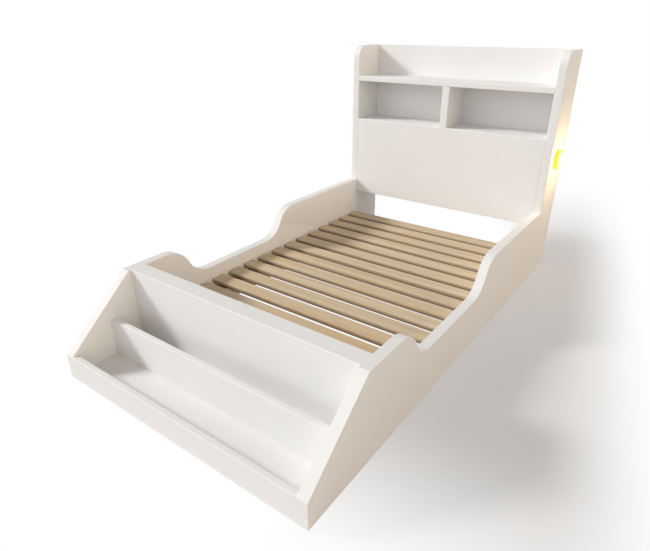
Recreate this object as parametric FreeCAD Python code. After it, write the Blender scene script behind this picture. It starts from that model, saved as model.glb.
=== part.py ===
"""Single bed with a bookcase headboard, curved side panels, a bookcase at the foot and a push light.

Sizes are in millimetres. While it is built, X runs across the bed from its middle, Y from the front of the foot
towards the headboard, and Z up from the floor. On export the origin moves to the middle of the whole footprint.
"""
import FreeCAD, Part
import math
import os

from FreeCAD import Vector

# Boards
side_board = 33.0
cross_board = 20.0
top_shelf_board = 24.0
back_board = 15.0
edge_round = 2.5
corner_round = 8.0

# Mattress well: the width leaves a 900 mattress 10 on each side
well_width = 920.0
well_length = 1337.0
slat_top = 129.0

# Side panels, with a low valley between two S-curves
shoulder_height = 300.0
valley_height = 181.0
foot_shoulder_end = 410.0
head_shoulder_length = 535.0
wave_run = 186.0

# Foot bookcase
foot_depth = 318.0
slope_run = 249.0
lip_height = 88.0
floor_lift = 4.0
riser_front = 152.0
riser_height = 158.0
upper_lift = 34.0
cap_depth = 59.0
cap_dowel_inset = 160.0

# Headboard
head_depth = 202.0
head_height = 948.0
head_round = 50.0
head_gap = 237.0
top_recess = 133.0
cubby_height = 179.0
back_inset = 10.0
groove_depth = 8.0
back_screw_inset = 85.0

# Slats and their ledgers
slat_count = 15
slat_width = 58.0
slat_thickness = 18.0
slat_corner = 8.0
slat_end_gap = 21.5
slat_side_gap = 4.0
ledger_width = 28.0
ledger_height = 36.0
ledger_end_gap = 3.0
ledger_screw_every = 3

# Fittings of the flat-pack joints
fit_gap = 0.2
dowel_diameter = 8.0
dowel_in_near = 22.0
dowel_in_far = 14.0
dowel_inset = 22.0
cam_diameter = 15.0
cam_setback = 24.0
cam_wall = 1.0
cam_drive_diameter = 6.0
cam_drive_depth = 3.0
bolt_diameter = 5.0
bolt_head_diameter = 7.0
bolt_head_length = 3.0
bolt_thread_length = 12.0
low_cam_height = 22.0
high_cam_height = 60.0
slat_screw_shank = 4.0
slat_screw_bite = 12.0
ledger_screw_shank = 5.0
back_screw_shank = 4.0
screw_bite = 20.0

# Push light on the outer face of the right headboard side
lamp_height = 516.0
lamp_diameter = 82.0
lamp_ring_depth = 15.0
lamp_dome_height = 18.0
lamp_wall = 3.0
lamp_ring_lip = 2.5
lamp_ring_chamfer = 1.5
lamp_plate = 2.0
lamp_post_diameter = 4.0
lamp_post_circle = 57.0
lamp_screw_pitch = 40.0
lamp_screw_shank = 3.0
lamp_screw_bite = 15.0
lens_wall = 2.0
lens_flange = 2.0
lens_gap = 0.5
lens_travel = 2.0
battery_count = 3
battery_diameter = 10.5
battery_length = 44.5
battery_pitch = 11.5
circuit_board = 1.6
circuit_board_diameter = 62.0
led_count = 6
led_diameter = 4.0
led_height = 1.2
led_circle = 44.0
switch_width = 6.0
switch_height = 4.4
switch_floor = 0.6
plunger_diameter = 3.4
plunger_reach = 2.5
lens_boss_diameter = 6.0

# Places that follow from those sizes
half_well = well_width / 2
outer_face = half_well + side_board
head_front = foot_depth + well_length
total_length = head_front + head_depth
back_face = total_length - back_inset - back_board
back_mid = back_face + back_board / 2
floor_top = floor_lift + cross_board
upper_floor = floor_top + upper_lift
end_panel_front = foot_depth - cross_board
cap_front = foot_depth - cap_depth
riser_back = riser_front + cross_board
shelf_front = head_front + cross_board
top_shelf_height = head_height - top_recess
cubby_top = top_shelf_height - top_shelf_board
cubby_floor = cubby_top - cubby_height
ledger_top = slat_top - slat_thickness
ledger_bottom = ledger_top - ledger_height
slat_pitch = (well_length - 2 * slat_end_gap - slat_width) / (slat_count - 1)
first_slat = foot_depth + slat_end_gap + slat_width / 2
cam_axis_depth = cross_board / 2
cam_height = cam_axis_depth + bolt_head_diameter / 2 + cam_wall
lamp_reach = lamp_ring_depth + lamp_dome_height
lamp_centre = Vector(outer_face, head_front + head_depth / 2, lamp_height)
origin = Vector(lamp_reach / 2, total_length / 2, 0)

across = Vector(1, 0, 0)
along = Vector(0, 1, 0)
up = Vector(0, 0, 1)
sides = (("left", -1), ("right", 1))

solids = {}
cutters = {}


def add(node, *shapes):
    solids.setdefault(node, []).extend(shapes)


def cut(node, *shapes):
    cutters.setdefault(node, []).extend(shapes)


# Basic shapes
def box(x0, x1, y0, y1, z0, z1):
    return Part.makeBox(x1 - x0, y1 - y0, z1 - z0, Vector(x0, y0, z0))


def rod(start, direction, diameter, length):
    return Part.makeCylinder(diameter / 2, length, start, direction)


def turned(profile, start, direction):
    """Solid of revolution of a closed wire drawn with the radius along X and the axis along Z."""
    solid = Part.Face(profile).revolve(Vector(0, 0, 0), up, 360)
    solid.Placement = FreeCAD.Placement(start, FreeCAD.Rotation(up, direction))
    return solid


def stepped(*corners):
    """Closed profile for turned, from (height, radius) corners joined by straight lines."""
    points = [Vector(radius, 0, height) for height, radius in corners]
    return Part.makePolygon(points + points[:1])


def rounded_outline(x, corners):
    """Closed wire in the plane at x, from (y, z, radius) corners, each rounded by a tangent arc."""
    edges = []
    ends = []
    count = len(corners)
    for i, (y, z, radius) in enumerate(corners):
        corner = Vector(x, y, z)
        to_last = (Vector(x, *corners[i - 1][:2]) - corner).normalize()
        to_next = (Vector(x, *corners[(i + 1) % count][:2]) - corner).normalize()
        half_angle = to_last.getAngle(to_next) / 2
        reach = radius / math.tan(half_angle)
        middle = (to_last + to_next).normalize() * (radius / math.sin(half_angle) - radius)
        ends.append((corner + to_last * reach, corner + middle, corner + to_next * reach))
    for i, (begin, middle, end) in enumerate(ends):
        if (begin - end).Length > 1e-6:
            edges.append(Part.Arc(begin, middle, end).toShape())
        after = ends[(i + 1) % count][0]
        if (end - after).Length > 1e-6:
            edges.append(Part.LineSegment(end, after).toShape())
    return Part.Wire(edges)


def lies_on(edge, y=None, z=None):
    """True where every end of the edge has the given y and z."""
    return all(
        (y is None or abs(v.Y - y) < 1e-6) and (z is None or abs(v.Z - z) < 1e-6) for v in edge.Vertexes
    )


def profiled_board(x, corners, joined_end):
    """Side board with rounded edges, square along the floor and along the end that meets another board."""
    face = Part.Face(rounded_outline(x, corners))
    solid = face.extrude(across * side_board)
    edges = [
        edge
        for edge in solid.Edges
        if abs(edge.Vertexes[0].X - edge.Vertexes[-1].X) < 1e-6
        and not lies_on(edge, z=0)
        and not lies_on(edge, y=joined_end)
    ]
    return solid.makeFillet(edge_round, edges)


def cross_piece(node, y0, y1, z0, z1, rounded=()):
    """Board that spans the well, with the listed (y, z) long edges rounded."""
    solid = box(-half_well, half_well, y0, y1, z0, z1)
    edges = [edge for edge in solid.Edges if any(lies_on(edge, y, z) for y, z in rounded)]
    add(node, solid.makeFillet(edge_round, edges) if edges else solid)


# Fittings
def dowel(point, direction, near, far):
    """Wooden dowel across the joint at point, which lies on the face between the two boards."""
    add("dowels", rod(point - direction * dowel_in_near, direction, dowel_diameter, dowel_in_near + dowel_in_far))
    hole = dowel_diameter + 2 * fit_gap
    cut(near, rod(point, direction * -1, hole, dowel_in_near + fit_gap))
    cut(far, rod(point, direction, hole, dowel_in_far + fit_gap))


def cam(point, direction, face, near, far):
    """Cam fitting: its bolt stands in the far board, its lock is bored into the near board's face."""
    centre = point - direction * cam_setback
    shaft = bolt_diameter / 2
    head = bolt_head_diameter / 2
    length = cam_setback + bolt_thread_length
    start = -bolt_head_length / 2
    bolt = stepped((start, 0), (start, head), (-start, head), (-start, shaft), (length, shaft), (length, 0))
    add("cam_bolts", turned(bolt, centre, direction))
    cut(far, rod(point, direction, bolt_diameter + 2 * fit_gap, bolt_thread_length + fit_gap))
    bore = rod(centre - direction * bolt_head_length, direction, bolt_head_diameter + 2 * fit_gap,
               cam_setback + bolt_head_length)
    top = centre + face * cam_axis_depth
    lock = rod(top, face * -1, cam_diameter, cam_height)
    add("cam_locks", lock.cut([bore, rod(top, face * -1, cam_drive_diameter, cam_drive_depth)]))
    cut(near, bore, rod(top, face * -1, cam_diameter + 2 * fit_gap, cam_height + fit_gap))


def screw(node, head, direction, shank, length, *boards):
    """Countersunk screw with its head flush at the point head, through and into the boards."""
    def profile(gap):
        thin = shank / 2 + gap
        wide = shank + gap
        return stepped((0, 0), (0, wide), (shank / 2, thin), (length + gap, thin), (length + gap, 0))

    add(node, turned(profile(0), head, direction))
    for board in boards:
        cut(board, turned(profile(fit_gap), head, direction))


def join_ends(node, far, dowels, cams=(), cam_face=None):
    """Dowels and cams at both ends of a cross piece, at the given (y, z) places."""
    for name, side in sides:
        outward = across * side
        for y, z in dowels:
            dowel(Vector(side * half_well, y, z), outward, node, f"{far}_{name}")
        for y, z in cams:
            cam(Vector(side * half_well, y, z), outward, cam_face, node, f"{far}_{name}")


def join_upright(node, far, y0, y1, z0, z1, cam_z=None):
    """Two dowels at each end of an upright board, and a cam in its rear face."""
    middle = (y0 + y1) / 2
    cams = [] if cam_z is None else [(y1 - cam_axis_depth, cam_z)]
    join_ends(node, far, [(middle, z0 + dowel_inset), (middle, z1 - dowel_inset)], cams, along)


def join_flat(node, far, y0, y1, z0, z1, cam_face):
    """Two dowels at each end of a flat board, and a cam in its hidden face."""
    middle = (z0 + z1) / 2
    cam_z = z1 - cam_axis_depth if cam_face == up else z0 + cam_axis_depth
    join_ends(node, far, [(y0 + dowel_inset, middle), (y1 - dowel_inset, middle)], [((y0 + y1) / 2, cam_z)], cam_face)


# Side panels: sloping front, foot shoulder, valley, head shoulder
drop = shoulder_height - valley_height
wave_angle = 2 * math.atan(drop / wave_run)
wave_reach = drop / math.sin(wave_angle) / 2
wave_radius = wave_reach / math.tan(wave_angle / 2)
head_shoulder_start = head_front - head_shoulder_length
side_corners = (
    (0, 0, 0),
    (head_front, 0, 0),
    (head_front, shoulder_height, 0),
    (head_shoulder_start - wave_reach, shoulder_height, wave_radius),
    (head_shoulder_start - wave_run + wave_reach, valley_height, wave_radius),
    (foot_shoulder_end + wave_run - wave_reach, valley_height, wave_radius),
    (foot_shoulder_end + wave_reach, shoulder_height, wave_radius),
    (slope_run, shoulder_height, corner_round),
    (0, lip_height, corner_round),
)
head_corners = (
    (head_front, 0, 0),
    (total_length, 0, 0),
    (total_length, head_height, 0),
    (head_front, head_height, head_round),
)
for name, side in sides:
    inner = half_well if side > 0 else -outer_face
    add(f"side_panel_{name}", profiled_board(inner, side_corners, head_front))
    add(f"head_side_{name}", profiled_board(inner, head_corners, total_length))
    for z in (slat_top + dowel_inset, shoulder_height - dowel_inset):
        place = Vector(side * (half_well + side_board / 2), head_front, z)
        dowel(place, along, f"side_panel_{name}", f"head_side_{name}")
    for z in (low_cam_height, high_cam_height):
        place = Vector(side * (half_well + cam_axis_depth), head_front, z)
        cam(place, along, across * -side, f"side_panel_{name}", f"head_side_{name}")

# Foot bookcase: lip, floor, riser, upper shelf, back panel, end panel and cap
cap_bottom = shoulder_height - cross_board
foot_lip = (0, cross_board, 0, lip_height)
foot_floor = (cross_board, cap_front, floor_lift, floor_top)
foot_riser = (riser_front, riser_back, floor_top, riser_height)
foot_upper_shelf = (riser_back, cap_front, upper_floor - cross_board, upper_floor)
foot_back_panel = (cap_front, cap_front + cross_board, floor_lift, cap_bottom)
foot_end_panel = (end_panel_front, foot_depth, floor_lift, cap_bottom)
foot_cap = (cap_front, foot_depth, cap_bottom, shoulder_height)
cross_piece("foot_lip", *foot_lip, rounded=((0, lip_height), (cross_board, lip_height)))
cross_piece("foot_floor", *foot_floor)
cross_piece("foot_riser", *foot_riser, rounded=((riser_front, riser_height), (riser_back, riser_height)))
cross_piece("foot_upper_shelf", *foot_upper_shelf)
cross_piece("foot_back_panel", *foot_back_panel)
cross_piece("foot_end_panel", *foot_end_panel)
cross_piece("foot_cap", *foot_cap, rounded=((cap_front, shoulder_height), (foot_depth, shoulder_height)))
join_upright("foot_lip", "side_panel", *foot_lip)
join_upright("foot_riser", "side_panel", *foot_riser)
join_upright("foot_back_panel", "side_panel", *foot_back_panel, cam_z=(floor_lift + cap_bottom) / 2)
join_upright("foot_end_panel", "side_panel", *foot_end_panel, cam_z=high_cam_height)
join_flat("foot_floor", "side_panel", *foot_floor, up * -1)
join_flat("foot_upper_shelf", "side_panel", *foot_upper_shelf, up * -1)
join_ends("foot_cap", "side_panel", [(foot_depth - cap_depth / 2, shoulder_height - cross_board / 2)])
cap_dowel_end = half_well - cap_dowel_inset
for x in (-cap_dowel_end, 0, cap_dowel_end):
    dowel(Vector(x, cap_front + cross_board / 2, cap_bottom), up, "foot_back_panel", "foot_cap")
    dowel(Vector(x, foot_depth - cross_board / 2, cap_bottom), up, "foot_end_panel", "foot_cap")

# Headboard: closed box below, two cubbies, shelf with a raised back
head_front_panel = (head_front, shelf_front, head_gap, cubby_floor)
head_bottom_board = (shelf_front, back_face, head_gap, head_gap + cross_board)
head_cubby_shelf = (shelf_front, back_face, cubby_floor - cross_board, cubby_floor)
head_top_shelf = (head_front, back_face, cubby_top, top_shelf_height)
cross_piece("head_front_panel", *head_front_panel, rounded=((head_front, cubby_floor), (head_front, head_gap)))
cross_piece("head_bottom_board", *head_bottom_board)
cross_piece("head_cubby_shelf", *head_cubby_shelf)
cross_piece("head_top_shelf", *head_top_shelf, rounded=((head_front, top_shelf_height), (head_front, cubby_top)))
join_upright("head_front_panel", "head_side", *head_front_panel, cam_z=(head_gap + cubby_floor) / 2)
join_flat("head_bottom_board", "head_side", *head_bottom_board, up)
join_flat("head_cubby_shelf", "head_side", *head_cubby_shelf, up * -1)
join_flat("head_top_shelf", "head_side", *head_top_shelf, up * -1)

divider = box(-side_board / 2, side_board / 2, head_front, back_face, cubby_floor, cubby_top)
front_edges = [edge for edge in divider.Edges if lies_on(edge, y=head_front) and not lies_on(edge, z=cubby_floor)
               and not lies_on(edge, z=cubby_top)]
add("head_divider", divider.makeFillet(edge_round, front_edges))
for y in (shelf_front + dowel_inset, back_face - dowel_inset):
    dowel(Vector(0, y, cubby_top), up, "head_divider", "head_top_shelf")
    dowel(Vector(0, y, cubby_floor), up * -1, "head_divider", "head_cubby_shelf")

# Back panel: slides down into grooves in the headboard sides and is screwed to the shelves
in_groove = half_well + groove_depth
back_rear = back_face + back_board
add("head_back_panel", box(-in_groove + fit_gap, in_groove - fit_gap, back_face, back_rear, head_gap, head_height))
for name, side in sides:
    inner, bottom = sorted((side * half_well, side * in_groove))
    cut(f"head_side_{name}", box(inner, bottom, back_face - fit_gap, back_rear + fit_gap, head_gap, head_height))
for board, z0, z1 in (
    ("head_bottom_board", *head_bottom_board[2:]),
    ("head_cubby_shelf", *head_cubby_shelf[2:]),
    ("head_top_shelf", *head_top_shelf[2:]),
):
    for share in (-1, -1 / 3, 1 / 3, 1):
        place = Vector(share * (half_well - back_screw_inset), back_rear, (z0 + z1) / 2)
        screw("back_panel_screws", place, along * -1, back_screw_shank, back_board + screw_bite,
              "head_back_panel", board)

# Slats on their ledgers
slat_half = half_well - slat_side_gap
ledger_mid = half_well - ledger_width / 2
for name, side in sides:
    inner, outer = sorted((side * half_well, side * (half_well - ledger_width)))
    node = f"slat_ledger_{name}"
    add(node, box(inner, outer, foot_depth + ledger_end_gap, head_front - ledger_end_gap, ledger_bottom, ledger_top))
    for i in range(1, slat_count - 1, ledger_screw_every):
        head = Vector(side * (half_well - ledger_width), first_slat + (i + 0.5) * slat_pitch,
                      (ledger_bottom + ledger_top) / 2)
        screw("ledger_screws", head, across * side, ledger_screw_shank, ledger_width + screw_bite,
              node, f"side_panel_{name}")
for i in range(slat_count):
    node = f"slat_{i + 1:02d}"
    middle = first_slat + i * slat_pitch
    slat = box(-slat_half, slat_half, middle - slat_width / 2, middle + slat_width / 2, ledger_top, slat_top)
    upright_edges = [edge for edge in slat.Edges if abs(edge.Vertexes[0].Z - edge.Vertexes[1].Z) > 1e-6]
    slat = slat.makeFillet(slat_corner, upright_edges)
    add(node, slat.makeFillet(edge_round, [edge for edge in slat.Edges if lies_on(edge, z=slat_top)]))
    for name, side in sides:
        screw("slat_screws", Vector(side * ledger_mid, middle, ledger_bottom), up, slat_screw_shank,
              ledger_height + slat_screw_bite, f"slat_ledger_{name}", node)

# Push light: ring, back plate with posts, batteries, circuit board, switch, and the lens that is pressed
def lamp_point(distance, y=0.0, z=0.0):
    """Point of the light, at a distance out from the headboard side and offset from the light's axis."""
    return lamp_centre + Vector(distance, y, z)


ring = lamp_diameter / 2
ring_inside = ring - lamp_wall
ring_mouth = ring_inside - lamp_ring_lip
lip_back = lamp_ring_depth - lens_flange
ring_profile = stepped(
    (0, ring_inside), (0, ring), (lamp_ring_depth - lamp_ring_chamfer, ring),
    (lamp_ring_depth, ring - lamp_ring_chamfer), (lamp_ring_depth, ring_mouth), (lip_back, ring_mouth),
    (lip_back, ring_inside),
)
add("lamp_housing", turned(ring_profile, lamp_centre, across))

plate = rod(lamp_centre, across, 2 * (ring_inside - fit_gap), lamp_plate)
battery_top = lamp_plate + fit_gap + battery_diameter
board_back = battery_top + fit_gap
for turn in range(4):
    angle = turn * math.pi / 2
    post = lamp_point(0, math.cos(angle) * lamp_post_circle / 2, math.sin(angle) * lamp_post_circle / 2)
    plate = plate.fuse(rod(post, across, lamp_post_diameter, board_back))
add("lamp_back_plate", plate.removeSplitter())
for side in (-1, 1):
    screw("lamp_screws", lamp_point(lamp_plate, side * lamp_screw_pitch / 2), across * -1, lamp_screw_shank,
          lamp_plate + lamp_screw_bite, "lamp_back_plate", "head_side_right")
for i in range(battery_count):
    offset = (i - (battery_count - 1) / 2) * battery_pitch
    bottom = lamp_point(battery_top - battery_diameter / 2, offset, -battery_length / 2)
    add("lamp_batteries", rod(bottom, up, battery_diameter, battery_length))

board_front = board_back + circuit_board
add("lamp_led_board", rod(lamp_point(board_back), across, circuit_board_diameter, circuit_board))
for i in range(led_count):
    angle = (i + 0.5) * 2 * math.pi / led_count
    place = lamp_point(board_front, math.cos(angle) * led_circle / 2, math.sin(angle) * led_circle / 2)
    add("lamp_leds", rod(place, across, led_diameter, led_height))

switch_corner = lamp_point(board_front, -switch_width / 2, -switch_width / 2)
switch = Part.makeBox(switch_height, switch_width, switch_width, switch_corner)
add("lamp_switch", switch)
cut("lamp_switch", rod(lamp_point(board_front + switch_floor), across, plunger_diameter + 2 * fit_gap, switch_height))
plunger_back = board_front + switch_floor + lens_travel + fit_gap
plunger_front = board_front + switch_height + plunger_reach
add("lamp_plunger", rod(lamp_point(plunger_back), across, plunger_diameter, plunger_front - plunger_back))

# Lens: domed cap with a flange that the ring's lip holds, and a boss that presses the plunger
skirt = ring_mouth - lens_gap
skirt_inside = skirt - lens_wall
flange_front = lip_back - fit_gap
flange_back = flange_front - lens_flange
dome_radius = (skirt ** 2 + lamp_dome_height ** 2) / (2 * lamp_dome_height)
dome_centre = lamp_reach - dome_radius
inner_radius = dome_radius - lens_wall
inner_edge = dome_centre + math.sqrt(inner_radius ** 2 - skirt_inside ** 2)


def dome_point(radius, share):
    """Point of a dome profile, at a share of the way from its top to the skirt."""
    half_angle = math.asin((skirt if radius == dome_radius else skirt_inside) / radius)
    return Vector(radius * math.sin(half_angle * share), 0, dome_centre + radius * math.cos(half_angle * share))


def dome_arc(radius, *shares):
    return Part.Arc(*(dome_point(radius, share) for share in shares)).toShape()


boss = lens_boss_diameter / 2
outline = (
    Vector(skirt, 0, lamp_ring_depth), Vector(skirt, 0, flange_front), Vector(ring_inside - lens_gap, 0, flange_front),
    Vector(ring_inside - lens_gap, 0, flange_back), Vector(skirt_inside, 0, flange_back),
    Vector(skirt_inside, 0, inner_edge),
)
straight = [Part.LineSegment(a, b).toShape() for a, b in zip(outline, outline[1:])]
axis_line = Part.LineSegment(dome_point(inner_radius, 0), dome_point(dome_radius, 0)).toShape()
lens_wire = Part.Wire([
    dome_arc(dome_radius, 0, 0.5, 1), *straight, dome_arc(inner_radius, 1, 0.5, 0), axis_line,
])
boss_length = dome_centre + inner_radius - plunger_front + lens_wall / 2
lens = turned(lens_wire, lamp_centre, across)
add("lamp_lens", lens.fuse(rod(lamp_point(plunger_front), across, 2 * boss, boss_length)).removeSplitter())

# Finished pieces, one file for each node
os.makedirs("parts", exist_ok=True)
for node, shapes in solids.items():
    finished = []
    for shape in shapes:
        piece = shape.cut(cutters[node]) if node in cutters else shape
        if len(piece.Solids) != 1 or not piece.isValid():
            raise ValueError(f"{node} is not one sound solid")
        finished.append(piece.Solids[0])
    whole = finished[0] if len(finished) == 1 else Part.makeCompound(finished)
    whole.translate(origin * -1)
    whole.exportStep(f"parts/{node}.step")
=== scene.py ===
"""Finish of a painted single bed, fitted to its construction frame.

Painted boards with eased edges, a row of bare wood slats, steel fittings and a lit push light, on a plain
stage. Everything is in metres, in the frame's own place: +X to the right seen from the foot, +Y to the
headboard, +Z up.
"""

import math

import bmesh
import bpy
from bpy.props import FloatProperty, FloatVectorProperty, IntProperty, PointerProperty
from mathutils import Matrix, Vector


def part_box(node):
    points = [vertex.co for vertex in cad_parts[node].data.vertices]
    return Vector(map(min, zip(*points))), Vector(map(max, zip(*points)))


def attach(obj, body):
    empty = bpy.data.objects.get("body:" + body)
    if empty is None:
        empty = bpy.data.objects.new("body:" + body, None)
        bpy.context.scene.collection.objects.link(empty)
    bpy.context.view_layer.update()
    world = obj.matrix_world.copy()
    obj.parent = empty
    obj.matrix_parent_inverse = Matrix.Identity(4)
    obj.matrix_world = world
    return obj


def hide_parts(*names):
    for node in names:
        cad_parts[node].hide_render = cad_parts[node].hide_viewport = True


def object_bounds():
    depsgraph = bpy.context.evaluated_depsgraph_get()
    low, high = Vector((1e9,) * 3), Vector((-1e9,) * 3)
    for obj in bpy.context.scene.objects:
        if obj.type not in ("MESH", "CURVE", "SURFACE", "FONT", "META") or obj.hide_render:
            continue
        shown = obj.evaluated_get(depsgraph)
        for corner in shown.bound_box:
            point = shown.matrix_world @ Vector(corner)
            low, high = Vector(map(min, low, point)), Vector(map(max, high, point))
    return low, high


bl_info = {
    "name": "Painted Single Bed",
    "version": (1, 0, 0),
    "blender": (4, 5, 0),
    "location": "3D View > Sidebar > Bed",
    "description": "Builds the boards, slats, fittings and push light of a single bed around its frame",
    "category": "Object",
}

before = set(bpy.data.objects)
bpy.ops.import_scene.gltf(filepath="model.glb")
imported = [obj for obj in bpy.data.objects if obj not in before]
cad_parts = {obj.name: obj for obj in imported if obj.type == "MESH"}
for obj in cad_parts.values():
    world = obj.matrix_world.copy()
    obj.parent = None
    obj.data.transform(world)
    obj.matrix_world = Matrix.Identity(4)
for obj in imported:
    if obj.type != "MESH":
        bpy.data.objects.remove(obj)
cad_low, cad_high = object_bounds()

SIDES = ("left", "right")
SLATS = sorted(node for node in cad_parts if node.startswith("slat_") and node[-1].isdigit())
UP = Vector((0, 0, 1))
CREASE = math.radians(20)


def colour(name, description, default):
    return FloatVectorProperty(name=name, description=description, subtype="COLOR", size=3, min=0, max=1,
                               default=default)


def length(name, description, default):
    return FloatProperty(name=name, description=description, unit="LENGTH", precision=4, default=default)


def number(name, description, default):
    return FloatProperty(name=name, description=description, default=default)


def angle(name, description, degrees):
    return FloatProperty(name=name, description=description, subtype="ANGLE", default=math.radians(degrees))


def direction(name, description, default):
    return FloatVectorProperty(name=name, description=description, subtype="DIRECTION", size=3,
                               default=default)


def span(name, description, default):
    return FloatVectorProperty(name=name, description=description, size=2, precision=3, default=default)


# Settings that a user would change
class BedBoards(bpy.types.PropertyGroup):
    """Outlines and paint of the boards"""

    edge_round: length("Edge round", "Radius of the rounded long edges", 0.0025)
    arris: length("Arris", "Easing of the edges that meet another board", 0.0007)
    lip_height: length("Lip height", "Height of the side panel's front edge", 0.088)
    slope_run: length("Slope run", "Depth of the side panel's sloping front", 0.249)
    corner_round: length("Corner round", "Radius of the two corners of the slope", 0.008)
    valley_height: length("Valley height", "Height of the low stretch of a side panel", 0.181)
    foot_shoulder: length("Foot shoulder", "From the foot to the start of the first S-curve", 0.410)
    head_shoulder: length("Head shoulder", "From the headboard to the end of the second S-curve", 0.535)
    wave_run: length("S-curve run", "Length of one S-curve along the bed", 0.186)
    head_round: length("Headboard round", "Radius of the headboard side's upper front corner", 0.050)
    paint: colour("Paint", "Satin paint on the boards", (0.866, 0.860, 0.848))
    paint_shade: colour("Paint shade", "Slightly yellowed paint in patches", (0.852, 0.842, 0.824))
    # Painted highlight: a lighter colour on the rounded edge faces, where the edges catch the light.
    paint_edge_highlight: colour("Paint edge", "Thinner, polished paint along the edges", (0.886, 0.882, 0.874))


class BedSlats(bpy.types.PropertyGroup):
    """Wood of the slats"""

    corner: length("Corner", "Radius of a slat's corners seen from above", 0.008)
    edge_round: length("Edge round", "Radius of a slat's upper edges", 0.0025)
    lower_share: number("Lower edges", "Easing of the other edges, as a share of the upper ones", 1 / 6)
    light: colour("Early wood", "Pale wood between the grain lines", (0.735, 0.600, 0.428))
    dark: colour("Late wood", "Grain lines", (0.600, 0.458, 0.296))
    heart: colour("Heartwood", "Warmer streaks along the slats", (0.680, 0.470, 0.240))
    # Painted shade, not a sawn finish: a dark colour put low on the slats' sides, where shade falls between
    # the slats.
    painted_shade: colour("Sawn sides", "Darker wood low on the slats' sawn sides", (0.240, 0.148, 0.078))
    seed: IntProperty(name="Seed", description="Choice of tone for each slat", default=7)


class BedFittings(bpy.types.PropertyGroup):
    """Screws and cam fittings"""

    proud: length("Proud", "How far a screw head stands above its board", 0.0003)
    recess_width: length("Recess width", "Width of the slots of a cross recess", 0.0009)
    recess_depth: length("Recess depth", "Depth of the cross recess", 0.0012)
    recess_reach: number("Recess reach", "Length of a slot, as a share of the head's radius", 1.1)
    crown: number("Crown", "Flat top of a screw head, as a share of its width", 0.92)
    clearance: length("Clearance", "Room round a cam fitting in its bore", 0.0002)
    zinc: colour("Zinc", "Bright zinc plating", (0.620, 0.630, 0.650))
    seed: IntProperty(name="Seed", description="Turn of each screw's cross", default=3)


class BedLight(bpy.types.PropertyGroup):
    """Push light"""

    ring_round: length("Ring round", "Rounding of the ring's rim", 0.0015)
    ring_width: length("Ring width", "Width of the ring's face", 0.0055)
    ring_lip: length("Ring lip", "Depth of the lip that holds the lens", 0.002)
    foot_round: length("Foot round", "Rounding where the ring meets the board", 0.0004)
    mouth_round: length("Mouth round", "Rounding of the ring's mouth", 0.0006)
    lens_gap: length("Lens gap", "Room between the lens and the ring", 0.0005)
    ring: colour("Ring", "Moulded ring", (0.950, 0.800, 0.045))
    lens: colour("Lens", "Opal lens", (0.930, 0.910, 0.860))
    core: colour("Core", "Light over the middle of the lens", (1.000, 0.970, 0.900))
    glow: colour("Glow", "Light at the lens's rim and of the LEDs", (1.000, 0.680, 0.260))
    lens_strength: number("Lens strength", "Brightness of the lens itself", 0.55)
    led_strength: number("LED strength", "Brightness of the LEDs", 3.0)
    ring_strength: number("Ring strength", "Light that comes through the ring", 0.35)
    spill: number("Spill", "Watts of light thrown on the board and the floor", 1.3)
    spill_ahead: length("Spill ahead", "How far in front of the lens that light starts", 0.05)
    spill_size: length("Spill size", "Radius of the source of that light", 0.02)


class BedStage(bpy.types.PropertyGroup):
    """Camera, lights and floor"""

    camera: FloatVectorProperty(name="Camera", description="Place of the camera", subtype="TRANSLATION",
                                size=3, default=(0.99138, -1.56071, 1.05155))
    azimuth: angle("Azimuth", "Camera's turn round the bed", 36.29)
    elevation: angle("Elevation", "Camera's look down", 26.03)
    roll: angle("Roll", "Camera's lean", -0.19)
    lens: number("Lens", "Focal length in millimetres", 28.77)
    sensor: number("Sensor", "Width of the sensor in millimetres", 36)
    key_from: direction("Key", "Direction to the key light", (-0.775, -0.365, 0.515))
    key: number("Key strength", "Strength of the key light", 2.58)
    key_angle: angle("Key size", "Angle of the key light", 13)
    key_colour: colour("Key colour", "Colour of the key light", (1.0, 0.985, 0.965))
    fill_from: direction("Fill", "Direction to the fill light", (0.98, -0.06, 0.18))
    fill: number("Fill strength", "Strength of the warm fill light", 1.00)
    fill_angle: angle("Fill size", "Angle of the fill light", 40)
    fill_colour: colour("Fill colour", "Colour of the fill light", (1.0, 0.76, 0.52))
    front_from: direction("Front", "Direction to the low light in front", (-0.28, -0.92, 0.28))
    front: number("Front strength", "Strength of the low light in front", 0.40)
    front_angle: angle("Front size", "Angle of the low light in front", 50)
    front_colour: colour("Front colour", "Colour of the low light in front", (0.96, 0.98, 1.0))
    low_sky: number("Low sky", "Strength of the soft light from all round", 0.62)
    high_sky: number("High sky", "Strength of the soft light from overhead", 0.23)
    sky_turn: span("Sky turn", "Heights between which the low sky gives way to the high sky", (0.15, 0.75))
    floor: colour("Floor", "Pale floor", (0.635, 0.605, 0.585))
    floor_size: length("Floor size", "Half the width of the floor", 40)
    floor_drop: length("Floor drop", "How far the floor lies below the bed's feet", 0.0005)
    shade: number("Shade", "How much of the floor beside the bed the camera sees; the rest is white", 0.66)
    shade_inner: span("Inner fade", "Start and end of the inner fade, from the bed's right", (-0.15, -0.05))
    shade_outer: span("Outer fade", "Start and end of the outer fade, from the bed's right", (0.25, 0.60))
    shade_foot: span("Foot fade", "Start and end of the fade at the foot", (-0.15, 0.55))
    shade_head: span("Head fade", "Start and end of the fade behind the headboard", (-0.20, 1.60))
    shade_slant: number("Slant", "How far the outer fade draws in, for each metre along the bed", 0.19)
    shade_spread: number("Spread", "How far the inner fade widens, for each metre behind the headboard", 0.7)


SETTINGS = {"bed_boards": BedBoards, "bed_slats": BedSlats, "bed_fittings": BedFittings,
            "bed_light": BedLight, "bed_stage": BedStage}


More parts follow.
